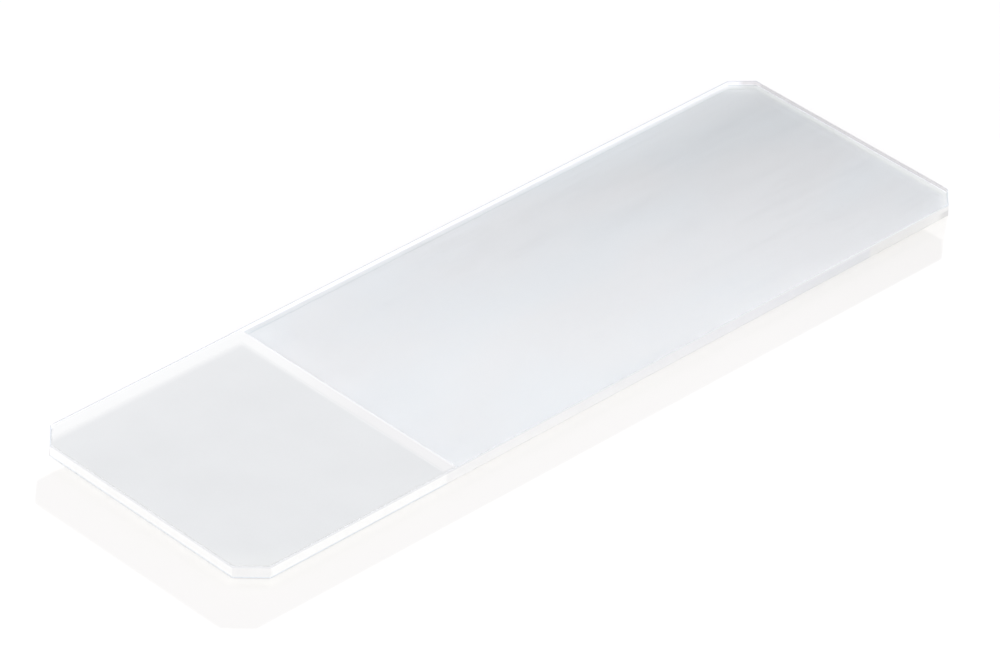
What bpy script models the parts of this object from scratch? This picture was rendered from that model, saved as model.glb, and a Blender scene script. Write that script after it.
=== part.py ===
"""Microscope slide: a clear glass plate with clipped corners and a two-layer marking area at one end.

Metres, +Z up. The origin is the middle of the underside. +X runs along the slide from the marked end
to the clear end, and +Y runs across it, from the front long edge to the back one.
"""

from math import hypot, radians

import bmesh
import bpy
from mathutils import Vector

# Glass plate
SLIDE_LENGTH = 0.075
SLIDE_WIDTH = 0.025
GLASS_THICKNESS = 0.001
ARRIS = 0.0001
ARRIS_SEGMENTS = 2

# Corner clips: each leg along X and along Y. The corners are ground one by one, so they differ a little.
CLIP_MARKED_FRONT = (0.00205, 0.00195)
CLIP_CLEAR_FRONT = (0.00165, 0.00165)
CLIP_CLEAR_BACK = (0.00175, 0.00155)
CLIP_MARKED_BACK = (0.00175, 0.00205)

# White base coat, printed across the marked end
BASE_COAT_LENGTH = 0.0207
BASE_COAT_THICKNESS = 0.00003
BASE_COAT_INSET = 0.00012

# Grey writing field, printed on the base coat
FIELD_THICKNESS = 0.00002
FIELD_INSET = 0.0002
FIELD_MARGIN_BACK = 0.0014
FIELD_MARGIN_INNER = 0.0012

# Bed ground into the glass to key the base coat; it runs past the coat's inner end
BED_DEPTH = 0.00001
BED_CLEARANCE = 0.00002

# Clearance between one layer and the next
BOND_GAP = 0.000002

CUTTER_OVERRUN = 0.001
WELD_DISTANCE = 0.000001
PERIMETER_EDGE_ANGLE = radians(60)

COLLECTION_NAME = "microscope_slide"
CUTTERS_NAME = "cutters"


def clear_scene():
    """Remove every object, so that a second run starts from nothing."""
    for obj in list(bpy.data.objects):
        bpy.data.objects.remove(obj, do_unlink=True)


def principled(name, color, roughness):
    """A non-metallic Principled material; returns the material and its shader node."""
    material = bpy.data.materials.new(name)
    material.use_nodes = True
    shader = material.node_tree.nodes["Principled BSDF"]
    shader.inputs["Base Color"].default_value = (*color, 1.0)
    shader.inputs["Roughness"].default_value = roughness
    shader.inputs["Metallic"].default_value = 0.0
    return material, shader


def clear_glass():
    """Clear soda-lime glass with a faint cold tint."""
    material, shader = principled("clear_glass", (0.86, 0.89, 0.92), 0.03)
    shader.inputs["Transmission Weight"].default_value = 1.0
    shader.inputs["IOR"].default_value = 1.52
    return material


def white_coat():
    """Matt white printed coat."""
    material, _ = principled("white_coat", (0.95, 0.95, 0.95), 0.75)
    return material


def grey_ink():
    """Matt light grey ink that takes pencil and pen."""
    material, _ = principled("grey_ink", (0.81, 0.82, 0.84), 0.85)
    return material


def corner_points(side_x, side_y, edge_x, edge_y, legs):
    """The points of one corner, walking anticlockwise round the outline.

    side_x and side_y are the corner's signs, and edge_x and edge_y are where its two edges lie.
    """
    if legs is None:
        return [(edge_x, edge_y)]
    leg_x, leg_y = legs
    on_long_edge = (edge_x - side_x * leg_x, edge_y)
    on_end_edge = (edge_x, edge_y - side_y * leg_y)
    if side_x * side_y > 0:
        return [on_end_edge, on_long_edge]
    return [on_long_edge, on_end_edge]


def inset_legs(legs, gap_x, gap_y, inset):
    """Legs of a layer's clip that runs parallel to the glass's clip, inset from it.

    gap_x and gap_y are how far the layer's own edges lie inside the glass's edges.
    """
    leg_x, leg_y = legs
    scale = 1 + inset * hypot(1 / leg_x, 1 / leg_y) - gap_x / leg_x - gap_y / leg_y
    return (leg_x * scale, leg_y * scale)


def glass_outline():
    """Outline of the plate: a rectangle with all four corners clipped."""
    end = SLIDE_LENGTH / 2
    side = SLIDE_WIDTH / 2
    return (
        corner_points(-1, -1, -end, -side, CLIP_MARKED_FRONT)
        + corner_points(1, -1, end, -side, CLIP_CLEAR_FRONT)
        + corner_points(1, 1, end, side, CLIP_CLEAR_BACK)
        + corner_points(-1, 1, -end, side, CLIP_MARKED_BACK)
    )


def layer_outline(inset, margin_back, inner_x):
    """Outline of a printed layer: it follows the marked end and stops square at inner_x.

    margin_back is how far it stays from the plate's back edge. Everywhere else it stays inset.
    """
    end_x = -SLIDE_LENGTH / 2 + inset
    front_y = -SLIDE_WIDTH / 2 + inset
    back_y = SLIDE_WIDTH / 2 - margin_back
    front_legs = inset_legs(CLIP_MARKED_FRONT, inset, inset, inset)
    back_legs = inset_legs(CLIP_MARKED_BACK, inset, margin_back, inset)
    return (
        corner_points(-1, -1, end_x, front_y, front_legs)
        + corner_points(1, -1, inner_x, front_y, None)
        + corner_points(1, 1, inner_x, back_y, None)
        + corner_points(-1, 1, end_x, back_y, back_legs)
    )


def add_collection(name):
    """A new collection in the scene."""
    collection = bpy.data.collections.new(name)
    bpy.context.scene.collection.children.link(collection)
    return collection


def flat_plate(name, outline, bottom, thickness, material, collection):
    """A flat outline extruded from bottom up to bottom + thickness, as a closed mesh object."""
    curve = bpy.data.curves.new(name, "CURVE")
    curve.dimensions = "2D"
    curve.fill_mode = "BOTH"
    curve.extrude = thickness / 2
    spline = curve.splines.new("POLY")
    spline.points.add(len(outline) - 1)
    for point, (x, y) in zip(spline.points, outline):
        point.co = (x, y, 0.0, 1.0)
    spline.use_cyclic_u = True
    curve.materials.append(material)
    drawn = bpy.data.objects.new(name, curve)
    drawn.location.z = bottom + thickness / 2
    collection.objects.link(drawn)
    return curve_to_mesh(drawn, collection)


def curve_to_mesh(drawn, collection):
    """Replace a curve object by a mesh object of the same name and place, with its caps welded on."""
    bpy.context.view_layer.update()
    depsgraph = bpy.context.evaluated_depsgraph_get()
    mesh = bpy.data.meshes.new_from_object(drawn.evaluated_get(depsgraph))
    welded = bmesh.new()
    welded.from_mesh(mesh)
    bmesh.ops.remove_doubles(welded, verts=welded.verts, dist=WELD_DISTANCE)
    welded.to_mesh(mesh)
    welded.free()

    name = drawn.name
    place = drawn.matrix_world.copy()
    bpy.data.curves.remove(drawn.data)
    plate = bpy.data.objects.new(name, mesh)
    plate.matrix_world = place
    collection.objects.link(plate)
    return plate


def grind_arris(plate):
    """Round the plate's upper and lower rims, as a slide's ground edges are."""
    bevel = plate.modifiers.new("arris", "BEVEL")
    bevel.width = ARRIS
    bevel.segments = ARRIS_SEGMENTS
    bevel.limit_method = "ANGLE"
    bevel.angle_limit = PERIMETER_EDGE_ANGLE


def cut_box(plate, name, low, high, cutters):
    """Cut the box between two corners out of the plate."""
    low, high = Vector(low), Vector(high)
    bpy.ops.mesh.primitive_cube_add(size=1, location=(low + high) / 2)
    cutter = bpy.context.object
    cutter.name = name
    cutter.scale = high - low
    cutter.hide_render = True
    cutter.display_type = "WIRE"
    for collection in cutter.users_collection:
        collection.objects.unlink(cutter)
    cutters.objects.link(cutter)

    cut = plate.modifiers.new(name, "BOOLEAN")
    cut.operation = "DIFFERENCE"
    cut.solver = "EXACT"
    cut.object = cutter


def add_glass_slide(collection, cutters):
    """The glass plate itself, with the bed for the base coat ground into its top face."""
    plate = flat_plate(
        "glass_slide", glass_outline(), 0.0, GLASS_THICKNESS, clear_glass(), collection
    )
    grind_arris(plate)
    end = SLIDE_LENGTH / 2 + CUTTER_OVERRUN
    side = SLIDE_WIDTH / 2 + CUTTER_OVERRUN
    bed_end = -SLIDE_LENGTH / 2 + BASE_COAT_LENGTH + BED_CLEARANCE
    low = (-end, -side, GLASS_THICKNESS - BED_DEPTH)
    high = (bed_end, side, GLASS_THICKNESS + CUTTER_OVERRUN)
    cut_box(plate, "coat_bed", low, high, cutters)
    return plate


def add_base_coat(collection):
    """The white coat on its bed in the plate's top face."""
    inner_x = -SLIDE_LENGTH / 2 + BASE_COAT_LENGTH
    outline = layer_outline(BASE_COAT_INSET, BASE_COAT_INSET, inner_x)
    bottom = GLASS_THICKNESS - BED_DEPTH + BOND_GAP
    return flat_plate(
        "white_base_coat", outline, bottom, BASE_COAT_THICKNESS, white_coat(), collection
    )


def add_writing_field(collection):
    """The grey field on the white coat, which leaves a white margin at the back and the inner end."""
    inner_x = -SLIDE_LENGTH / 2 + BASE_COAT_LENGTH - FIELD_MARGIN_INNER
    outline = layer_outline(FIELD_INSET, FIELD_MARGIN_BACK, inner_x)
    bottom = GLASS_THICKNESS - BED_DEPTH + BOND_GAP + BASE_COAT_THICKNESS + BOND_GAP
    return flat_plate(
        "grey_writing_field", outline, bottom, FIELD_THICKNESS, grey_ink(), collection
    )


def build():
    """Build the slide in its own collection, with its pieces under one empty at the origin."""
    clear_scene()
    collection = add_collection(COLLECTION_NAME)
    cutters = add_collection(CUTTERS_NAME)
    origin = bpy.data.objects.new("slide_origin", None)
    collection.objects.link(origin)
    pieces = [
        add_glass_slide(collection, cutters),
        add_base_coat(collection),
        add_writing_field(collection),
    ]
    for piece in pieces:
        piece.parent = origin


build()
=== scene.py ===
"""Looks of the microscope slide: polished glass with ground edges, a white coat and a grey writing field.

Metres, in the CAD model's frame: +X runs from the marked end to the clear end, and +Y from the front long
edge to the back one. The materials work in millimetres, because each one scales its coordinates first.
"""

import math
import random

import bmesh
import bpy
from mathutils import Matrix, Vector


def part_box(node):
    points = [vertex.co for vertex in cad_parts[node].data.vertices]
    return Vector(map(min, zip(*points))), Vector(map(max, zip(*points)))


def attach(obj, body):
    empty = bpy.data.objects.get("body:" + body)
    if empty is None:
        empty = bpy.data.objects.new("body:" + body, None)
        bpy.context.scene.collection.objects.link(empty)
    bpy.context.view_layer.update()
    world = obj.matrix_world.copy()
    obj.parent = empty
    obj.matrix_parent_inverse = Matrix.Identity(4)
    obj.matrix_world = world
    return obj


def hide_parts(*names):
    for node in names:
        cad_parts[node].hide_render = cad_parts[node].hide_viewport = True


MM = 0.001

# Camera
CAMERA_POSITION = (-0.30724, -0.33209, 0.31016)
CAMERA_TARGET = (-0.000595, 0.000401, 0.0)
LENS_MM = 254.75
SENSOR_WIDTH_MM = 36

# Outlines
OUTLINE_DIGITS = 7
STRAIGHT_TURN = 1e-10
OUTLINE_SPACING = 0.6 * MM
MITRE_LIMIT = 0.5

# Glass plate. A point belongs to the back edge when its inward normal's Y is below BACK_EDGE_NORMAL.
TOP_RIM_RADIUS = 0.1 * MM
BOTTOM_RIM_RADIUS = 0.02 * MM
BACK_BOTTOM_RIM_EXTRA = 0.08 * MM
BACK_EDGE_NORMAL = -0.9
RIM_WANDER = 0.0015 * MM
RIM_STEPS = 5
RIM_KNOTS = 90
BOTTOM_RIM_SEED = 3
TOP_RIM_SEED = 7
CORNER_RADIUS = 0.12 * MM
CORNER_STEPS = 3

# Printed layers
FEATHER_WIDTH = 0.12 * MM
COAT_BACK_GAP = 0.07 * MM
FEATHER_STEPS = 4
FEATHER_START = 0.25

# Floor plane
FLOOR_SIZE = 6.0
FLOOR_GAP = 0.01 * MM

# From here to the studio, lengths are in millimetres. A pair whose name ends in X, Y or Z is a stretch of
# that axis over which something changes, from the first place to the second. One that ends in STRETCH is
# measured on from an edge or top of the plate, a layer or the shadow. A SPREAD is in the noise's values.

# Clips: a typical leg, and the products of a normal's X and Y between which a side turns into a clip
CLIP_LEG = 1.85
CLIP_FACING = (0.15, 0.4)

# Noise's usual values, alone and as a mix of two
GRAIN_SPREAD = (0.3, 0.7)
MIXED_SPREAD = (0.35, 0.65)

# The clear top's relief along its edges
ROLL_OFF_REACH = 1.0
ROLL_OFF_HEIGHT = 0.005
ROLL_OFF_X = (6.0, 24.0)
LIP_START = 0.33
LIP_REACH = 0.9
LIP_HEIGHT = 0.002

# Polished glass
GLASS_IOR = 1.52
TOP_TINT = (1.0, 1.0, 1.0)
UNDERSIDE_TINT = (0.935, 0.99, 0.995)
COLD_CAST = (0.99, 1.0, 1.0)
WARM_CAST = (1.0, 0.997, 0.99)
CAST_SPREAD = (0.38, 0.62)
WIPED_GAIN = 0.975
WIPED_SPREAD = (0.42, 0.68)
SMEAR_SPREAD = (0.5, 0.8)
SMEAR_ROUGHNESS = 0.03

# Ground sides, from outside. Painted light lightens them towards the floor, and painted shade darkens their
# foot along the marking.
MARKED_STRETCH = (0.2, -0.1)
SIDE_COLOR = (0.825, 0.825, 0.832)
SIDE_MARKED_COLOR = (0.89, 0.89, 0.89)
SIDE_CLIP_COLOR = (0.825, 0.825, 0.83)
DIMMER_COLOR = (0.752, 0.757, 0.785)
DIMMER_X = (-8.0, 17.0)
DIMMEST_COLOR = (0.695, 0.705, 0.73)
DIMMEST_X = (15.0, 27.0)
DIMMEST_Z = (0.9, 0.6)
END_STEP_COLOR = (0.75, 0.75, 0.75)
END_STEP_X = (26.8, 27.3)
END_STEP_TIP_COLOR = (0.778, 0.778, 0.778)
END_STEP_TIP_X = (31.0, 35.0)
DARK_PATCH_COLOR = (0.645, 0.64, 0.64)
DARK_PATCH_X = (34.5, 35.5)
DARK_PATCH_Z = (0.65, 0.4)
FOOT_SHADE_COLOR = (0.76, 0.80, 0.84)
FOOT_Z = (0.17, 0.07)
LOW_PAINTED_LIGHT_GAIN = 1.05
LOW_PAINTED_LIGHT_Z = (0.5, 0.0)

# Ground sides, from inside. Their glow's colours are painted light and shade.
GLOW_FRONT_COLOR = (0.60, 0.61, 0.62)
GLOW_BACK_COLOR = (0.93, 0.94, 0.95)
GLOW_BACK_Y = (-12.0, 12.0)
GLOW_END_COLOR = (0.62, 0.62, 0.60)
GLOW_END_STRETCH = (-1.2, -0.7)
GLOW_CLIP_COLOR = (0.74, 0.73, 0.71)
GLOW_CLIP_STRETCH = (-0.35, -0.05)
GLOW_FOOT_GAIN = 1.1
GLOW_FOOT_Z = (0.3, 0.05)
GLOW_TOP_COLOR = (0.46, 0.48, 0.49)
GLOW_TOP_Z = (0.80, 0.86)

# Rims. Painted shade darkens them at the clear end, the back and the clips; painted light makes the lower
# rim pale, and painted shade makes it bluish along the marking.
RIM_COLOR = (0.70, 0.702, 0.72)
RIM_MARKED_COLOR = (0.73, 0.735, 0.75)
RIM_END_SHADE_COLOR = (0.45, 0.45, 0.44)
RIM_END_STRETCH = (-0.9, -0.2)
RIM_BACK_SHADE_COLOR = (0.25, 0.31, 0.36)
RIM_BACK_STRETCH = (-0.5, -0.2)
RIM_CLIP_STRETCH = (-0.45, -0.15)
RIM_SIDE_CLIP_SHADE_COLOR = (0.66, 0.69, 0.72)
LOWER_RIM_LIGHT_COLOR = (0.95, 0.96, 0.97)
LOWER_RIM_MARKED_SHADE_COLOR = (0.74, 0.78, 0.84)
LOWER_RIM_Z = (0.6, 0.4)

# White coat. A share is how much of one colour is laid over another. Painted light makes the coat lighter
# towards the back and along its inner end; painted shade lays the ink's colour over it around the field,
# along the front edge and at the marked end.
COAT_COLOR = (0.772, 0.777, 0.772)
COAT_SHADED_FRONT_COLOR = (0.713, 0.713, 0.712)
COAT_LIT_BACK_Y = (-4.0, 11.0)
COAT_INNER_LIGHT_COLOR = (0.79, 0.793, 0.80)
COAT_INNER_LIGHT_STRETCH = (-0.23, -0.13)
COAT_INNER_LIGHT_SHARE = 0.8
FIELD_SHADE_END_STRETCH = (0.3, -0.05)
FIELD_SHADE_BACK_STRETCH = (0.2, -0.4)
FIELD_SHADE_SHARE = 0.5
FRONT_SHADE_STRETCH = (0.35, 0.25)
FRONT_SHADE_SHARE = 0.6

# Grey ink. Painted light lightens it at the margins, towards the back first slowly and then fast.
INK_COLOR = (0.645, 0.656, 0.661)
FIELD_SLOW_LIGHT = 0.12
FIELD_SLOW_LIGHT_Y = (5.0, 10.0)
FIELD_BACK_LIGHT = 0.83
FIELD_BACK_LIGHT_STRETCH = (-0.8, 0.2)
INK_SLANT = 0.008
FIELD_INNER_LIGHT_STRETCH = (-0.37, 0.45)
INK_TOP_STRETCH = (-0.014, -0.003)
INK_CORNER_GAIN = (1.04, 1.04, 1.03)
INK_CORNER_STRETCH = (4.15, 0.15)

# Floor beside the slide. Painted light makes it lighter near the slide and off a shifted copy of the
# outline, which trims the lamp's shadow; painted shade darkens it towards the front right.
OUTLINE_STRETCH = (-0.02, 0.0)
FLOOR_COLOR = (0.764, 0.756, 0.743)
FLOOR_RIGHT_SHADE_COLOR = (0.738, 0.730, 0.717)
FLOOR_RIGHT_X = (8.0, 36.0)
FLOOR_RIGHT_Y = (-10.0, -13.0)
FLOOR_CONTACT_LIGHT_GAIN = 1.11
FLOOR_CONTACT_LIGHT_REACH = 1.2
FLOOR_UNSHADED_GAIN = 1.08
SHADOW_OFFSET = (4.6, 3.9)
SHADOW_STRETCH = (-0.1, 0.3)
FAR_EDGE_STRETCH = (-0.4, 0.0)
FAR_BACK_STRETCH = (0.0, 3.0)
FAR_END_STRETCH = (1.5, 5.5)

# Floor under the slide, seen through the glass: its colours are painted light and shade, with painted
# lit bands under the far edges.
UNDER_FRONT_COLOR = (0.788, 0.778, 0.766)
UNDER_FRONT_RIGHT_COLOR = (0.808, 0.796, 0.786)
UNDER_FRONT_RIGHT_X = (2.0, 18.0)
UNDER_FRONT_Y = (10.0, -4.0)
UNDER_BACK_COLOR = (0.751, 0.742, 0.730)
UNDER_BACK_RIGHT_COLOR = (0.766, 0.757, 0.745)
UNDER_BACK_RIGHT_X = (4.0, 14.0)
UNDER_SHADED_X = (14.0, 4.0)
UNDER_SHADED_STRETCH = (2.2, 0.7)
UNDER_CORNER_LIGHT_COLOR = (0.87, 0.855, 0.84)
UNDER_CORNER_X = (10.0, 36.0)
UNDER_CORNER_Y = (8.0, 11.5)
UNDER_COAT_EDGE_LIGHT_COLOR = (0.83, 0.82, 0.81)
UNDER_COAT_STRETCH = (3.3, 0.8)
UNDER_LIT_BAND_COLOR = (0.99, 0.975, 0.965)
UNDER_LEFT_LIT_BAND_COLOR = (0.925, 0.915, 0.905)
UNDER_LIT_BAND_X = (2.0, 22.0)
UNDER_BACK_LIT_BAND_STRETCH = (-0.7, -0.35)
UNDER_END_LIT_BAND_STRETCH = (-0.75, -0.3)
UNDER_CLIP_LIT_BAND_STRETCH = (-1.1, 0.0)
UNDER_CLIP_LIT_BAND_SHARE = 0.8

# Painted glow for light that gathers under the slide's far edges. Its levels are parts of GATHERED_LIGHT.
GATHERED_LIGHT = 0.13
GATHERED_COLOR = (1.0, 0.94, 0.90)
END_LIGHT_STRETCH = (-0.95, -0.2)
END_LIGHT_Y = (9.0, -9.0)
END_LIGHT_LEVELS = (0.55, 1.0)
BACK_LIGHT_STRETCH = (-0.5, -0.1)
BACK_LIGHT_X = (6.0, 26.0)
BACK_LIGHT_LEVEL = 0.7
CLIP_LIGHT_WIDE_STRETCH = (-2.15, 0.05)
CLIP_LIGHT_WIDE_LEVEL = 1.3
CLIP_LIGHT_NARROW_STRETCH = (-0.25, 0.15)
CLIP_LIGHT_NARROW_LEVEL = 1.8
CLIP_LIGHT_END_STRETCH = (-0.5, -1.7)
CLIP_LIGHT_END_SHARE = 0.5
TIP_LIGHT_STRETCH = (-1.25, 0.15)
TIP_LIGHT_LEVEL = 1.2

# Studio light. Heights are the Z of a direction's unit vector.
WHITE = (1.0, 1.0, 1.0, 1.0)
WALL_LIGHT = (1.25, 1.25, 1.25)
BACKDROP_LIGHT = (0.66, 0.63, 0.80)
SOFTBOX_LIGHT = (3.05, 3.0, 3.25)
SOFTBOX_EDGE = (0.522, 0.577)
SOFTBOX_TOP = (0.62, 0.72)
BEHIND = (0.678, 0.735, 0.0)
BEHIND_EDGE = (0.55, 0.78)
LAMP_COLOR = (0.80, 0.88, 1.0)
LAMP_STRENGTH = 2.6
LAMP_HEADING = (0.770, 0.637)
LAMP_ELEVATION = math.radians(8.9)
LAMP_SOFTNESS = math.radians(0.7)


# Shapes

def hull_outline(node):
    """The outline of a CAD node seen from above, anticlockwise."""
    vertices = [v.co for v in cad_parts[node].data.vertices]
    points = sorted({(round(v.x, OUTLINE_DIGITS), round(v.y, OUTLINE_DIGITS)) for v in vertices})

    def half(sequence):
        chain = []
        for p in sequence:
            while len(chain) >= 2:
                a, b = chain[-2], chain[-1]
                turn = (b[0] - a[0]) * (p[1] - a[1]) - (b[1] - a[1]) * (p[0] - a[0])
                if turn > STRAIGHT_TURN:
                    break
                chain.pop()
            chain.append(p)
        return chain[:-1]

    return [Vector(p) for p in half(points) + half(points[::-1])]


def rounded(outline, radius, steps):
    """The outline with each corner turned into a short arc of that radius."""
    made = []
    count = len(outline)
    for i, corner in enumerate(outline):
        to_last = (outline[i - 1] - corner).normalized()
        to_next = (outline[(i + 1) % count] - corner).normalized()
        half_angle = to_last.angle(to_next) / 2
        reach = radius / math.tan(half_angle)
        centre = corner + (to_last + to_next).normalized() * (radius / math.sin(half_angle))
        start = corner + to_last * reach - centre
        end = corner + to_next * reach - centre
        sweep = start.angle_signed(end)
        for k in range(steps + 1):
            turn = -sweep * k / steps
            spoke = Vector((
                start.x * math.cos(turn) - start.y * math.sin(turn),
                start.x * math.sin(turn) + start.y * math.cos(turn),
            ))
            made.append(centre + spoke)
    return made


def resampled(outline, spacing):
    """The outline with extra points, so that no stretch is longer than the spacing."""
    made = []
    for a, b in zip(outline, outline[1:] + outline[:1]):
        pieces = max(1, math.ceil((b - a).length / spacing))
        made += [a.lerp(b, k / pieces) for k in range(pieces)]
    return made


def inward_normals(outline):
    """Vectors that point into an anticlockwise outline, one for each point; a corner's is longer than 1."""
    normals = []
    count = len(outline)
    for i in range(count):
        along_in = (outline[i] - outline[i - 1]).normalized()
        along_out = (outline[(i + 1) % count] - outline[i]).normalized()
        n_in = Vector((-along_in.y, along_in.x))
        n_out = Vector((-along_out.y, along_out.x))
        bisector = (n_in + n_out).normalized()
        normals.append(bisector / max(bisector.dot(n_in), MITRE_LIMIT))
    return normals


def smooth_noise(count, knots, seed):
    """A closed run of smooth values from -1 to 1."""
    rng = random.Random(seed)
    heights = [rng.uniform(-1, 1) for _ in range(knots)]
    values = []
    for i in range(count):
        place = i * knots / count
        k = int(place)
        t = place - k
        t = t * t * (3 - 2 * t)
        values.append(heights[k % knots] * (1 - t) + heights[(k + 1) % knots] * t)
    return values


def loft(name, rings, band_slots, bottom_slot=0, top_slot=0, flat_bands=()):
    """A closed mesh through rings of equal point counts, from the bottom one up, capped at both ends.

    band_slots gives the material slot of each band between two rings. The flat bands aren't shaded smooth.
    """
    bm = bmesh.new()
    levels = [[bm.verts.new(p) for p in ring] for ring in rings]
    count = len(rings[0])
    for band, (low, high, slot) in enumerate(zip(levels, levels[1:], band_slots)):
        for i in range(count):
            j = (i + 1) % count
            face = bm.faces.new((low[i], low[j], high[j], high[i]))
            face.material_index = slot
            face.smooth = band not in flat_bands
    bm.faces.new(levels[0][::-1]).material_index = bottom_slot
    bm.faces.new(levels[-1]).material_index = top_slot
    mesh = bpy.data.meshes.new(name)
    bm.normal_update()
    bm.to_mesh(mesh)
    bm.free()
    obj = bpy.data.objects.new(name, mesh)
    bpy.context.scene.collection.objects.link(obj)
    return obj


def rim_ring(outline, normals, radii, angle, edge_height, upward):
    """One ring of a rounded rim, angle radians away from the plate's flat face."""
    ring = []
    for p, n, r in zip(outline, normals, radii):
        q = p + n * r * (1 - math.sin(angle))
        ring.append((q.x, q.y, edge_height + upward * r * (1 - math.cos(angle))))
    return ring


def rim_radii(radius, count, seed):
    """A rim's radius at each of the outline's points; it wanders a little, as a ground rim's does."""
    return [radius + RIM_WANDER * v for v in smooth_noise(count, RIM_KNOTS, seed)]


def build_glass():
    """The glass plate: polished faces, ground sides and rounded rims, the lower one wider at the back."""
    low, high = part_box("glass_slide")
    outline = rounded(hull_outline("glass_slide"), CORNER_RADIUS, CORNER_STEPS)
    outline = resampled(outline, OUTLINE_SPACING)
    normals = inward_normals(outline)
    bottom_radii = rim_radii(BOTTOM_RIM_RADIUS, len(outline), BOTTOM_RIM_SEED)
    top_radii = rim_radii(TOP_RIM_RADIUS, len(outline), TOP_RIM_SEED)
    for i, normal in enumerate(normals):
        if normal.y < BACK_EDGE_NORMAL:
            bottom_radii[i] += BACK_BOTTOM_RIM_EXTRA
    angles = [math.pi / 2 * step / RIM_STEPS for step in range(RIM_STEPS + 1)]
    rings = [rim_ring(outline, normals, bottom_radii, a, low.z, 1) for a in angles]
    rings += [rim_ring(outline, normals, top_radii, a, high.z, -1) for a in angles[::-1]]
    top, side, underside, rim = range(4)
    bands = [rim] * RIM_STEPS + [side] + [rim] * RIM_STEPS
    plate = loft("glass_plate", rings, bands, bottom_slot=underside, top_slot=top)
    plate.data.materials.append(polished_glass("glass_top", TOP_TINT, shaped=True))
    plate.data.materials.append(ground_side())
    plate.data.materials.append(polished_glass("glass_underside", UNDERSIDE_TINT, shaped=False))
    plate.data.materials.append(ground_rim())
    return plate


def build_layer(name, node, material, back_gap=0.0):
    """A printed layer with a feathered upper edge, in place of a flat CAD one; back_gap shortens it."""
    low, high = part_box(node)
    outline = [Vector((p.x, min(p.y, high.y - back_gap))) for p in hull_outline(node)]
    outline = resampled(outline, OUTLINE_SPACING)
    normals = inward_normals(outline)
    height = high.z - low.z
    rings = [[(p.x, p.y, low.z) for p in outline]]
    for step in range(FEATHER_STEPS + 1):
        angle = math.pi / 2 * step / FEATHER_STEPS
        inset = FEATHER_WIDTH * (1 - math.cos(angle))
        z = low.z + height * (FEATHER_START + (1 - FEATHER_START) * math.sin(angle))
        rings.append([(p.x + n.x * inset, p.y + n.y * inset, z) for p, n in zip(outline, normals)])
    layer = loft(name, rings, [0] * (FEATHER_STEPS + 1), flat_bands=(0,))
    layer.data.materials.append(material)
    return layer


# Node helpers

def link_or_set(tree, socket, value):
    """Link a node's output to the socket, or set the socket to a plain value."""
    if isinstance(value, bpy.types.NodeSocket):
        tree.links.new(value, socket)
    else:
        socket.default_value = value


def map_range(tree, value, low, high, to_low=0.0, to_high=1.0, smooth=True):
    """The value's place between low and high, as a number from to_low to to_high."""
    node = tree.nodes.new("ShaderNodeMapRange")
    node.interpolation_type = "SMOOTHSTEP" if smooth else "LINEAR"
    for name, number in (("From Min", low), ("From Max", high), ("To Min", to_low), ("To Max", to_high)):
        node.inputs[name].default_value = number
    tree.links.new(value, node.inputs["Value"])
    return node.outputs["Result"]


def maths(tree, operation, first, *others):
    """The operation on one value, or carried along several; each is a number or a node's output."""
    result = first
    for other in others or [None]:
        node = tree.nodes.new("ShaderNodeMath")
        node.operation = operation
        link_or_set(tree, node.inputs[0], result)
        if other is not None:
            link_or_set(tree, node.inputs[1], other)
        result = node.outputs[0]
    return result


def mix_numbers(tree, factor, first, second):
    """A number that goes from first to second as the factor goes from 0 to 1."""
    node = tree.nodes.new("ShaderNodeMix")
    for socket, value in zip((node.inputs[0], node.inputs[2], node.inputs[3]), (factor, first, second)):
        link_or_set(tree, socket, value)
    return node.outputs[0]


def mix_colors(tree, factor, first, second, blend="MIX"):
    """A colour that goes from first to second as the factor goes from 0 to 1."""
    node = tree.nodes.new("ShaderNodeMix")
    node.data_type = "RGBA"
    node.blend_type = blend
    for socket, value in zip((node.inputs[0], node.inputs[6], node.inputs[7]), (factor, first, second)):
        link_or_set(tree, socket, (*value, 1.0) if isinstance(value, tuple) else value)
    return node.outputs[2]


def multiplied(tree, color, gain):
    """The colour times a gain, which is another colour or a number."""
    return mix_colors(tree, 1.0, color, gain, blend="MULTIPLY")


def place_mm(tree):
    """The point's place in the part's frame in millimetres: the vector, and its X, Y and Z."""
    coordinates = tree.nodes.new("ShaderNodeTexCoord")
    scale = tree.nodes.new("ShaderNodeVectorMath")
    scale.operation = "SCALE"
    scale.inputs["Scale"].default_value = 1 / MM
    tree.links.new(coordinates.outputs["Object"], scale.inputs[0])
    split = tree.nodes.new("ShaderNodeSeparateXYZ")
    tree.links.new(scale.outputs[0], split.inputs[0])
    return scale.outputs[0], split.outputs["X"], split.outputs["Y"], split.outputs["Z"]


def far_corner_mm(node):
    """The largest X, Y and Z of a CAD node, in millimetres."""
    _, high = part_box(node)
    return high.x / MM, high.y / MM, high.z / MM


def plate_mm():
    """Half the plate's length, half its width, and X + Y on the far clip, in millimetres."""
    end, side, _ = far_corner_mm("glass_slide")
    return end, side, end + side - CLIP_LEG


def measured_from(edge, stretch):
    """The two places that a stretch reaches when it is measured on from that edge."""
    return [edge + step for step in stretch]


def on_clip(tree):
    """1 on the clipped corners' faces, and 0 on the straight sides, by the way that the surface faces."""
    split = tree.nodes.new("ShaderNodeSeparateXYZ")
    tree.links.new(tree.nodes.new("ShaderNodeTexCoord").outputs["Normal"], split.inputs[0])
    both = maths(tree, "ABSOLUTE", maths(tree, "MULTIPLY", split.outputs["X"], split.outputs["Y"]))
    return map_range(tree, both, *CLIP_FACING)


def at_marking(tree, x):
    """1 along the grey field, and 0 from its inner end on."""
    field_end, _, _ = far_corner_mm("grey_writing_field")
    return map_range(tree, x, *measured_from(field_end, MARKED_STRETCH))


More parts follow.
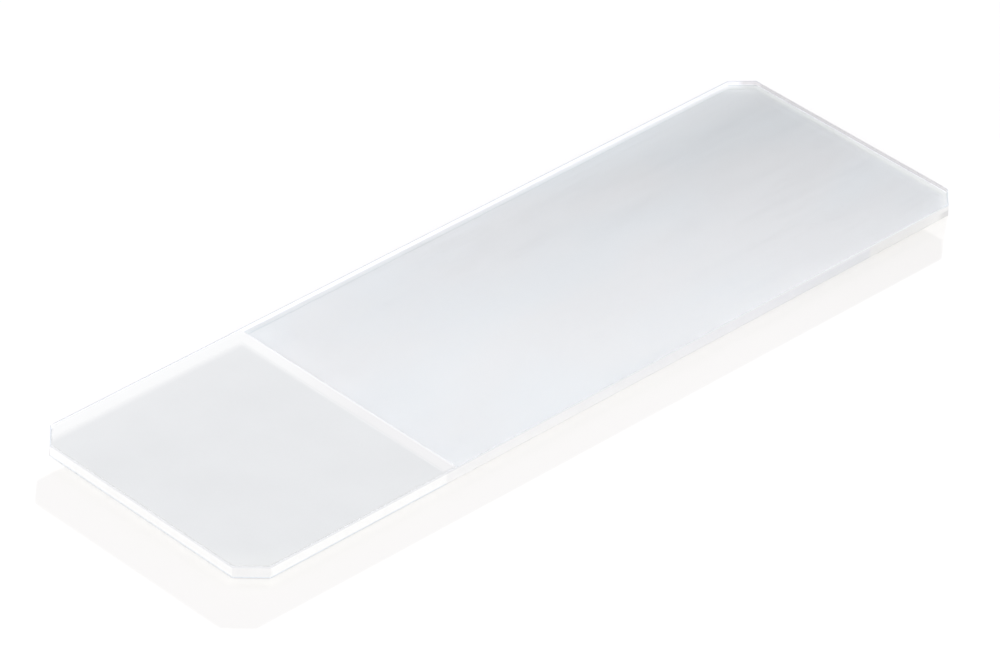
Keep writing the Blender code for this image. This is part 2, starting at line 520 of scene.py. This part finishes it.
def past_edge(tree, x, y):
    """How far the point lies outside the plate's outline, in millimetres; it is negative inside."""
    end, side, clip_line = plate_mm()
    size_x = maths(tree, "ABSOLUTE", x)
    size_y = maths(tree, "ABSOLUTE", y)
    past_end = maths(tree, "SUBTRACT", size_x, end)
    past_side = maths(tree, "SUBTRACT", size_y, side)
    past_clip = maths(tree, "SUBTRACT", maths(tree, "ADD", size_x, size_y), clip_line)
    return maths(tree, "MAXIMUM", past_end, past_side, maths(tree, "MULTIPLY", past_clip, math.sqrt(0.5)))


def noise(tree, place, scale, detail=2.0, stretch=None):
    """Noise from about 0 to 1; scale is in cycles per millimetre, and stretch scales each axis first."""
    if stretch is not None:
        stretched = tree.nodes.new("ShaderNodeVectorMath")
        stretched.operation = "MULTIPLY"
        stretched.inputs[1].default_value = stretch
        tree.links.new(place, stretched.inputs[0])
        place = stretched.outputs[0]
    node = tree.nodes.new("ShaderNodeTexNoise")
    node.inputs["Scale"].default_value = scale
    node.inputs["Detail"].default_value = detail
    tree.links.new(place, node.inputs["Vector"])
    return node.outputs["Fac"]


def uneven(tree, shade, spread, amount):
    """A gain that wanders with the noise, from 1 - amount to 1 + amount."""
    return map_range(tree, shade, *spread, 1 - amount, 1 + amount, smooth=False)


def add_bump(tree, shader, height, depth):
    """Bump from a height; a height of 1 stands for depth in metres."""
    bump = tree.nodes.new("ShaderNodeBump")
    bump.inputs["Strength"].default_value = 1.0
    bump.inputs["Distance"].default_value = depth
    tree.links.new(height, bump.inputs["Height"])
    tree.links.new(bump.outputs["Normal"], shader.inputs["Normal"])


def new_material(name):
    """A material, its node tree and its Principled shader."""
    material = bpy.data.materials.new(name)
    material.use_nodes = True
    tree = material.node_tree
    return material, tree, tree.nodes["Principled BSDF"]


def finish_matt(tree, shader, color, grain, roughness, specular, relief):
    """Set a matt surface's colour and highlight; the grain varies its roughness and gives it relief."""
    tree.links.new(color, shader.inputs["Base Color"])
    tree.links.new(map_range(tree, grain, *GRAIN_SPREAD, *roughness), shader.inputs["Roughness"])
    shader.inputs["Specular IOR Level"].default_value = specular
    add_bump(tree, shader, grain, relief)


# Materials

def edge_relief(tree, x, y):
    """The height in millimetres by which the polished top departs from flat near its edges."""
    end, side, _ = plate_mm()
    rolling = map_range(tree, y, ROLL_OFF_REACH - side, -side, smooth=False)
    rolling = maths(tree, "MULTIPLY", rolling, rolling, map_range(tree, x, *ROLL_OFF_X))
    end_lip = map_range(tree, x, end - LIP_REACH, end - LIP_START)
    back_lip = map_range(tree, y, side - LIP_REACH, side - LIP_START)
    lip = maths(tree, "MULTIPLY", maths(tree, "ADD", end_lip, back_lip), LIP_HEIGHT)
    return maths(tree, "SUBTRACT", lip, maths(tree, "MULTIPLY", rolling, ROLL_OFF_HEIGHT))


def polished_glass(name, tint, shaped):
    """Clear float glass with faint wipe marks.

    A shaped face rolls off by some micrometres at the front edge, and has a slighter lip at the back edge
    and the clear end.
    """
    material, tree, shader = new_material(name)
    place, x, y, _ = place_mm(tree)
    streaks = noise(tree, place, scale=0.9, detail=4.0, stretch=(0.10, 1.0, 1.0))
    wiped_tint = tuple(WIPED_GAIN * part for part in tint)
    wiped = mix_colors(tree, map_range(tree, streaks, *WIPED_SPREAD), tint, wiped_tint)
    cloud = noise(tree, place, scale=0.11, stretch=(0.5, 1.0, 1.0))
    cast = mix_colors(tree, map_range(tree, cloud, *CAST_SPREAD), COLD_CAST, WARM_CAST)
    tree.links.new(multiplied(tree, wiped, cast), shader.inputs["Base Color"])
    smears = map_range(tree, streaks, *SMEAR_SPREAD, 0.0, SMEAR_ROUGHNESS)
    tree.links.new(smears, shader.inputs["Roughness"])
    if shaped:
        add_bump(tree, shader, edge_relief(tree, x, y), MM)
    shader.inputs["IOR"].default_value = GLASS_IOR
    shader.inputs["Transmission Weight"].default_value = 1.0
    return material


def glow_inside(tree, shader, color):
    """Seen from inside the plate, the surface shows the light that falls on its outside, in that colour."""
    inside = tree.nodes.new("ShaderNodeNewGeometry").outputs["Backfacing"]
    glow = tree.nodes.new("ShaderNodeBsdfTranslucent")
    mix = tree.nodes.new("ShaderNodeMixShader")
    tree.links.new(color, glow.inputs["Color"])
    tree.links.new(inside, mix.inputs["Fac"])
    tree.links.new(shader.outputs[0], mix.inputs[1])
    tree.links.new(glow.outputs[0], mix.inputs[2])
    tree.links.new(mix.outputs[0], tree.nodes["Material Output"].inputs["Surface"])


def side_color(tree, x, z):
    """The ground sides' colour from outside.

    It is whitest at the marking and darker towards the clear end, darkest near the top just before X 27 and
    lighter from there on. A darker patch lies low near the clear end, and painted shade darkens the foot at
    the marking.
    """
    color = mix_colors(tree, map_range(tree, x, *DIMMER_X, smooth=False), SIDE_COLOR, DIMMER_COLOR)
    dimmest = maths(tree, "MULTIPLY", map_range(tree, x, *DIMMEST_X), map_range(tree, z, *DIMMEST_Z))
    color = mix_colors(tree, dimmest, color, DIMMEST_COLOR)
    end_step = mix_colors(tree, map_range(tree, x, *END_STEP_TIP_X), END_STEP_COLOR, END_STEP_TIP_COLOR)
    color = mix_colors(tree, map_range(tree, x, *END_STEP_X), color, end_step)
    marked = at_marking(tree, x)
    color = mix_colors(tree, marked, color, SIDE_MARKED_COLOR)
    color = mix_colors(tree, on_clip(tree), color, SIDE_CLIP_COLOR)
    # A darker patch low on the side near the clear end.
    dark_patch = maths(tree, "MULTIPLY", map_range(tree, x, *DARK_PATCH_X), map_range(tree, z, *DARK_PATCH_Z))
    color = mix_colors(tree, dark_patch, color, DARK_PATCH_COLOR)
    # Painted shade: along the marking the side's foot is darker and bluish where it meets the floor.
    foot = maths(tree, "MULTIPLY", marked, map_range(tree, z, *FOOT_Z))
    return mix_colors(tree, foot, color, FOOT_SHADE_COLOR)


def side_glow(tree, x, y, z):
    """The sides' glow from inside, with painted light and shade: bright at the back, dim at the clear end
    and top.
    """
    end, _, clip_line = plate_mm()
    # Painted light and shade: the glow is brighter at the back than at the front.
    glow = mix_colors(tree, map_range(tree, y, *GLOW_BACK_Y), GLOW_FRONT_COLOR, GLOW_BACK_COLOR)
    clip = map_range(tree, maths(tree, "ADD", x, y), *measured_from(clip_line, GLOW_CLIP_STRETCH))
    end_glow = mix_colors(tree, clip, GLOW_END_COLOR, GLOW_CLIP_COLOR)
    glow = mix_colors(tree, map_range(tree, x, *measured_from(end, GLOW_END_STRETCH)), glow, end_glow)
    foot_gain = map_range(tree, z, *GLOW_FOOT_Z, 1.0, GLOW_FOOT_GAIN)
    glow = multiplied(tree, glow, mix_numbers(tree, clip, 1.0, foot_gain))
    return mix_colors(tree, map_range(tree, z, *GLOW_TOP_Z), glow, GLOW_TOP_COLOR)


def ground_side():
    """Ground glass: matt from outside, and seen from inside it glows with the light that it lets in."""
    material, tree, shader = new_material("ground_side")
    place, x, y, z = place_mm(tree)
    grain = noise(tree, place, scale=14.0, detail=3.0)
    mottle = noise(tree, place, scale=0.8, detail=3.0)
    wear_and_painted_light = uneven(tree, mix_numbers(tree, 0.5, grain, mottle), MIXED_SPREAD, amount=0.02)
    # Painted light: the sides grow lighter towards the floor.
    wear_and_painted_light = maths(tree, "MULTIPLY", wear_and_painted_light, map_range(tree, z, *LOW_PAINTED_LIGHT_Z, 1.0, LOW_PAINTED_LIGHT_GAIN))
    color = multiplied(tree, side_color(tree, x, z), wear_and_painted_light)
    finish_matt(tree, shader, color, grain, roughness=(0.5, 0.75), specular=0.3, relief=0.01 * MM)
    glow_inside(tree, shader, side_glow(tree, x, y, z))
    return material


def rim_color(tree, x, y, z):
    """The rims' colour: painted shade darker at the clear end, darkest at the back and far clip; painted
    light below.
    """
    end, side, clip_line = plate_mm()
    marked = at_marking(tree, x)
    color = mix_colors(tree, marked, RIM_COLOR, RIM_MARKED_COLOR)
    # Painted shade: darker rims at the clear end, the back, the far clip and the side clips.
    color = mix_colors(tree, map_range(tree, x, *measured_from(end, RIM_END_STRETCH)), color, RIM_END_SHADE_COLOR)
    clip_stretch = measured_from(clip_line, RIM_CLIP_STRETCH)
    far_clip = map_range(tree, maths(tree, "ADD", x, y), *clip_stretch)
    back = maths(tree, "MAXIMUM", map_range(tree, y, *measured_from(side, RIM_BACK_STRETCH)), far_clip)
    color = mix_colors(tree, back, color, RIM_BACK_SHADE_COLOR)
    side_clips = maths(tree, "ABSOLUTE", maths(tree, "SUBTRACT", x, y))
    color = mix_colors(tree, map_range(tree, side_clips, *clip_stretch), color, RIM_SIDE_CLIP_SHADE_COLOR)
    # Painted light and shade below: the lower rim is pale, and bluish along the marking.
    lower_color = mix_colors(tree, marked, LOWER_RIM_LIGHT_COLOR, LOWER_RIM_MARKED_SHADE_COLOR)
    return mix_colors(tree, map_range(tree, z, *LOWER_RIM_Z), color, lower_color)


def ground_rim():
    """The rounded rims: ground glass that has been polished a little by handling."""
    material, tree, shader = new_material("ground_rim")
    place, x, y, z = place_mm(tree)
    grain = noise(tree, place, scale=9.0, detail=3.0)
    wear_and_painted_light = uneven(tree, grain, GRAIN_SPREAD, amount=0.02)
    color = multiplied(tree, rim_color(tree, x, y, z), wear_and_painted_light)
    finish_matt(tree, shader, color, grain, roughness=(0.45, 0.6), specular=0.2, relief=0.003 * MM)
    glow_inside(tree, shader, color)
    return material


def white_coat():
    """Matt white print, lighter towards the back and along its inner end, which is painted light.

    Painted shade gives it the grey ink's colour just around the field, and more along the front edge
    and the marked end.
    """
    material, tree, shader = new_material("white_coat")
    place, x, y, _ = place_mm(tree)
    end, side, _ = plate_mm()
    coat_end, _, _ = far_corner_mm("white_base_coat")
    field_end, field_back, _ = far_corner_mm("grey_writing_field")
    # Painted light: the coat grows lighter towards the back.
    color = mix_colors(tree, map_range(tree, y, *COAT_LIT_BACK_Y), COAT_SHADED_FRONT_COLOR, COAT_COLOR)
    # Painted light along the coat's inner end.
    inner_light = map_range(tree, x, *measured_from(coat_end, COAT_INNER_LIGHT_STRETCH))
    color = mix_colors(tree, maths(tree, "MULTIPLY", inner_light, COAT_INNER_LIGHT_SHARE), color, COAT_INNER_LIGHT_COLOR)
    # Painted shade: the ink's colour laid over the coat just around the field.
    field_shade_end = map_range(tree, x, *measured_from(field_end, FIELD_SHADE_END_STRETCH))
    field_shade_back = map_range(tree, y, *measured_from(field_back, FIELD_SHADE_BACK_STRETCH))
    field_shade = maths(tree, "MULTIPLY", field_shade_end, field_shade_back, FIELD_SHADE_SHARE)
    color = mix_colors(tree, field_shade, color, INK_COLOR)
    # Painted shade: the ink's colour laid along the front edge and the marked end.
    from_edge = maths(tree, "MINIMUM", maths(tree, "ADD", y, side), maths(tree, "ADD", x, end))
    front = map_range(tree, from_edge, *FRONT_SHADE_STRETCH)
    color = mix_colors(tree, maths(tree, "MULTIPLY", front, FRONT_SHADE_SHARE), color, INK_COLOR)
    grain = noise(tree, place, scale=10.0, detail=4.0)
    mottle = noise(tree, place, scale=0.6, detail=3.0)
    shade = uneven(tree, mix_numbers(tree, 0.5, grain, mottle), MIXED_SPREAD, amount=0.008)
    color = multiplied(tree, color, shade)
    finish_matt(tree, shader, color, grain, roughness=(0.7, 0.85), specular=0.2, relief=0.004 * MM)
    return material


def ink_showing(tree, x, y, z):
    """How much of the ink's colour shows: 1 on the field, less where painted light lightens its margins, and
    at its very edge.
    """
    field_end, field_back, top = far_corner_mm("grey_writing_field")
    # Painted light lightens the ink towards the back, first slowly and then fast, and past the inner end.
    slow_light = map_range(tree, y, *FIELD_SLOW_LIGHT_Y, 0.0, FIELD_SLOW_LIGHT, smooth=False)
    fast_light = map_range(tree, y, *measured_from(field_back, FIELD_BACK_LIGHT_STRETCH), 0.0, FIELD_BACK_LIGHT)
    from_back = maths(tree, "SUBTRACT", 1.0, maths(tree, "ADD", slow_light, fast_light))
    slanted = maths(tree, "ADD", x, maths(tree, "MULTIPLY", y, INK_SLANT))
    past_end = map_range(tree, slanted, *measured_from(field_end, FIELD_INNER_LIGHT_STRETCH))
    from_end = maths(tree, "SUBTRACT", 1.0, past_end)
    full_height = map_range(tree, z, *measured_from(top, INK_TOP_STRETCH))
    return maths(tree, "MULTIPLY", from_back, from_end, full_height)


def grey_ink():
    """Matt light grey ink, lightened by painted light towards the white margins, and a little lighter in its
    front corner.
    """
    material, tree, shader = new_material("grey_ink")
    place, x, y, z = place_mm(tree)
    _, _, clip_line = plate_mm()
    coat_showing = maths(tree, "SUBTRACT", 1.0, ink_showing(tree, x, y, z))
    color = mix_colors(tree, coat_showing, INK_COLOR, COAT_COLOR)
    corner = map_range(tree, maths(tree, "ADD", x, y), *measured_from(-clip_line, INK_CORNER_STRETCH))
    color = mix_colors(tree, corner, color, INK_CORNER_GAIN, blend="MULTIPLY")
    grain = noise(tree, place, scale=7.0, detail=5.0)
    mottle = noise(tree, place, scale=0.25, detail=3.0)
    shade = uneven(tree, mix_numbers(tree, 0.6, grain, mottle), MIXED_SPREAD, amount=0.015)
    color = multiplied(tree, color, shade)
    finish_matt(tree, shader, color, grain, roughness=(0.8, 0.95), specular=0.2, relief=0.006 * MM)
    return material


def floor_beside(tree, x, y, away):
    """The floor's colour beside the slide: painted light near it and off its shadow, except past its far
    edges.
    """
    end, side, _ = plate_mm()
    # Painted shade towards the front right.
    right_shade = maths(tree, "MULTIPLY", map_range(tree, x, *FLOOR_RIGHT_X), map_range(tree, y, *FLOOR_RIGHT_Y))
    plain = mix_colors(tree, right_shade, FLOOR_COLOR, FLOOR_RIGHT_SHADE_COLOR)
    # Painted light near the slide, which offsets its contact shade.
    contact_light = map_range(tree, away, 0.0, FLOOR_CONTACT_LIGHT_REACH, FLOOR_CONTACT_LIGHT_GAIN, 1.0)
    # Painted light off a shifted copy of the outline, which trims the lamp's shadow.
    offset_x, offset_y = SHADOW_OFFSET
    off_shadow = past_edge(tree, maths(tree, "ADD", x, offset_x), maths(tree, "ADD", y, offset_y))
    unshaded = map_range(tree, off_shadow, *SHADOW_STRETCH, 1.0, FLOOR_UNSHADED_GAIN)
    lighter = multiplied(tree, plain, maths(tree, "MULTIPLY", contact_light, unshaded))
    past_back = map_range(tree, y, *measured_from(side, FAR_EDGE_STRETCH))
    along_back = map_range(tree, x, *measured_from(-end, FAR_BACK_STRETCH))
    past_end = map_range(tree, x, *measured_from(end, FAR_EDGE_STRETCH))
    along_end = map_range(tree, y, *measured_from(-side, FAR_END_STRETCH))
    past_back = maths(tree, "MULTIPLY", past_back, along_back)
    past_end = maths(tree, "MULTIPLY", past_end, along_end)
    return mix_colors(tree, maths(tree, "MAXIMUM", past_back, past_end), lighter, plain)


def floor_under(tree, x, y):
    """The floor's colour under the slide, all painted light and shade: lighter by the coat, at the far
    corner and under the far edges.
    """
    end, side, clip_line = plate_mm()
    coat_end, _, _ = far_corner_mm("white_base_coat")
    # Painted light and shade under the glass: lighter towards the front and the right.
    to_right = map_range(tree, x, *UNDER_FRONT_RIGHT_X)
    front = mix_colors(tree, to_right, UNDER_FRONT_COLOR, UNDER_FRONT_RIGHT_COLOR)
    to_right = map_range(tree, x, *UNDER_BACK_RIGHT_X)
    back = mix_colors(tree, to_right, UNDER_BACK_COLOR, UNDER_BACK_RIGHT_COLOR)
    color = mix_colors(tree, map_range(tree, y, *UNDER_FRONT_Y), back, front)
    # Painted shade near the front edge.
    near_front = map_range(tree, y, *measured_from(-side, UNDER_SHADED_STRETCH))
    shaded = maths(tree, "MULTIPLY", map_range(tree, x, *UNDER_SHADED_X), near_front)
    color = mix_colors(tree, shaded, color, UNDER_BACK_COLOR)
    # Painted light towards the far corner.
    to_end = map_range(tree, x, *UNDER_CORNER_X, smooth=False)
    corner = maths(tree, "MULTIPLY", to_end, map_range(tree, y, *UNDER_CORNER_Y))
    color = mix_colors(tree, corner, color, UNDER_CORNER_LIGHT_COLOR)
    # Painted light along the coat's edge.
    coat_edge = map_range(tree, x, *measured_from(coat_end, UNDER_COAT_STRETCH))
    color = mix_colors(tree, coat_edge, color, UNDER_COAT_EDGE_LIGHT_COLOR)
    # Painted lit bands under the back edge, the clear end and the far clip.
    band = mix_colors(tree, map_range(tree, x, *UNDER_LIT_BAND_X), UNDER_LEFT_LIT_BAND_COLOR, UNDER_LIT_BAND_COLOR)
    color = mix_colors(tree, map_range(tree, y, *measured_from(side, UNDER_BACK_LIT_BAND_STRETCH)), color, band)
    end_lit_band = map_range(tree, x, *measured_from(end, UNDER_END_LIT_BAND_STRETCH))
    color = mix_colors(tree, end_lit_band, color, UNDER_LIT_BAND_COLOR)
    clip_stretch = measured_from(clip_line, UNDER_CLIP_LIT_BAND_STRETCH)
    clip_lit_band = map_range(tree, maths(tree, "ADD", x, y), *clip_stretch)
    clip_lit_band = maths(tree, "MULTIPLY", clip_lit_band, UNDER_CLIP_LIT_BAND_SHARE)
    return mix_colors(tree, clip_lit_band, color, UNDER_LIT_BAND_COLOR)


def gathered_light(tree, x, y):
    """How much painted glow stands for light gathered under the far edges, the far clip and the clear end's
    front.
    """
    end, side, clip_line = plate_mm()
    end_light = map_range(tree, x, *measured_from(end, END_LIGHT_STRETCH))
    end_light = maths(tree, "MULTIPLY", end_light, map_range(tree, y, *END_LIGHT_Y, *END_LIGHT_LEVELS))
    back_light = map_range(tree, y, *measured_from(side, BACK_LIGHT_STRETCH))
    back_level = map_range(tree, x, *BACK_LIGHT_X, 0.0, BACK_LIGHT_LEVEL)
    back_light = maths(tree, "MULTIPLY", back_light, back_level)
    across = maths(tree, "ADD", x, y)
    wide_stretch = measured_from(clip_line, CLIP_LIGHT_WIDE_STRETCH)
    narrow_stretch = measured_from(clip_line, CLIP_LIGHT_NARROW_STRETCH)
    wide = map_range(tree, across, *wide_stretch, 0.0, CLIP_LIGHT_WIDE_LEVEL)
    narrow = map_range(tree, across, *narrow_stretch, 0.0, CLIP_LIGHT_NARROW_LEVEL)
    end_share = map_range(tree, x, *measured_from(end, CLIP_LIGHT_END_STRETCH), CLIP_LIGHT_END_SHARE, 1.0)
    clip_light = maths(tree, "MULTIPLY", maths(tree, "ADD", wide, narrow), end_share)
    tip_stretch = measured_from(clip_line, TIP_LIGHT_STRETCH)
    tip_light = map_range(tree, maths(tree, "SUBTRACT", x, y), *tip_stretch, 0.0, TIP_LIGHT_LEVEL)
    return maths(tree, "MAXIMUM", clip_light, tip_light, end_light, back_light)


def floor_surface():
    """Plain pale paper with a faint painted glow where light gathers under the slide."""
    material, tree, shader = new_material("floor")
    _, x, y, _ = place_mm(tree)
    away = past_edge(tree, x, y)
    outside = map_range(tree, away, *OUTLINE_STRETCH)
    color = mix_colors(tree, outside, floor_under(tree, x, y), floor_beside(tree, x, y, away))
    tree.links.new(color, shader.inputs["Base Color"])
    inside = maths(tree, "SUBTRACT", 1.0, outside)
    # Painted glow where light gathers under the far edges.
    glow = maths(tree, "MULTIPLY", gathered_light(tree, x, y), GATHERED_LIGHT, inside)
    tree.links.new(glow, shader.inputs["Emission Strength"])
    shader.inputs["Emission Color"].default_value = (*GATHERED_COLOR, 1.0)
    shader.inputs["Roughness"].default_value = 1.0
    shader.inputs["Specular IOR Level"].default_value = 0.0
    return material


# Studio

def build_floor():
    """The floor, just under the plate."""
    floor_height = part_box("glass_slide")[0].z - FLOOR_GAP
    bpy.ops.mesh.primitive_plane_add(size=FLOOR_SIZE, location=(0, 0, floor_height))
    floor = bpy.context.object
    floor.name = "floor"
    floor.data.materials.append(floor_surface())
    return floor


def build_world():
    """White walls, and a strip softbox behind the slide above a dark backdrop. The camera sees white."""
    world = bpy.data.worlds.new("studio")
    bpy.context.scene.world = world
    world.use_nodes = True
    tree = world.node_tree
    direction = tree.nodes.new("ShaderNodeTexCoord").outputs["Generated"]
    split = tree.nodes.new("ShaderNodeSeparateXYZ")
    tree.links.new(direction, split.inputs[0])
    facing = tree.nodes.new("ShaderNodeVectorMath")
    facing.operation = "DOT_PRODUCT"
    facing.inputs[1].default_value = BEHIND
    tree.links.new(direction, facing.inputs[0])
    behind = map_range(tree, facing.outputs["Value"], *BEHIND_EDGE)
    height = split.outputs["Z"]
    softbox = mix_colors(tree, map_range(tree, height, *SOFTBOX_EDGE), BACKDROP_LIGHT, SOFTBOX_LIGHT)
    softbox = mix_colors(tree, map_range(tree, height, *SOFTBOX_TOP), softbox, WALL_LIGHT)
    studio = tree.nodes["Background"]
    tree.links.new(mix_colors(tree, behind, WALL_LIGHT, softbox), studio.inputs["Color"])
    seen = tree.nodes.new("ShaderNodeBackground")
    seen.inputs["Color"].default_value = WHITE
    mix = tree.nodes.new("ShaderNodeMixShader")
    tree.links.new(tree.nodes.new("ShaderNodeLightPath").outputs["Is Camera Ray"], mix.inputs["Fac"])
    tree.links.new(studio.outputs[0], mix.inputs[1])
    tree.links.new(seen.outputs[0], mix.inputs[2])
    tree.links.new(mix.outputs[0], tree.nodes["World Output"].inputs["Surface"])


def build_lamp(floor):
    """A low lamp from behind that lights the floor alone, for the slide's faint long shadow."""
    data = bpy.data.lights.new("low_lamp", "SUN")
    data.color = LAMP_COLOR
    data.energy = LAMP_STRENGTH
    data.angle = LAMP_SOFTNESS
    lamp = bpy.data.objects.new("low_lamp", data)
    to_lamp = Vector((*LAMP_HEADING, 0)).normalized() * math.cos(LAMP_ELEVATION)
    to_lamp.z = math.sin(LAMP_ELEVATION)
    lamp.rotation_euler = to_lamp.to_track_quat("Z", "Y").to_euler()
    bpy.context.scene.collection.objects.link(lamp)
    lit = bpy.data.collections.new("lit_by_low_lamp")
    lit.objects.link(floor)
    lamp.light_linking.receiver_collection = lit


def build_camera():
    """The camera, where the slide's corners say that it stood."""
    data = bpy.data.cameras.new("camera")
    data.lens = LENS_MM
    data.sensor_width = SENSOR_WIDTH_MM
    camera = bpy.data.objects.new("camera", data)
    camera.location = CAMERA_POSITION
    aim = Vector(CAMERA_TARGET) - Vector(CAMERA_POSITION)
    camera.rotation_euler = aim.to_track_quat("-Z", "Y").to_euler()
    bpy.context.scene.collection.objects.link(camera)
    bpy.context.scene.camera = camera


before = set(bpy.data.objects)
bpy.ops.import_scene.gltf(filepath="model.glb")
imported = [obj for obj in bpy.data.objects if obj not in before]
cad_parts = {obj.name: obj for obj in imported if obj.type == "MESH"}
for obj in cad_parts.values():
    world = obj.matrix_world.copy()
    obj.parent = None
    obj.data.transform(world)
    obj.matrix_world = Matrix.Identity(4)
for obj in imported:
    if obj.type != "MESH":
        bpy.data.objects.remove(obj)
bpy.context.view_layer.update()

plate = build_glass()
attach(plate, "root")
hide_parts("glass_slide")

base = build_layer("base_coat", "white_base_coat", white_coat(), COAT_BACK_GAP)
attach(base, "root")
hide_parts("white_base_coat")

field = build_layer("writing_field", "grey_writing_field", grey_ink())
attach(field, "root")
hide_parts("grey_writing_field")

build_lamp(build_floor())
build_world()
build_camera()
bpy.context.scene.view_settings.view_transform = "Standard"
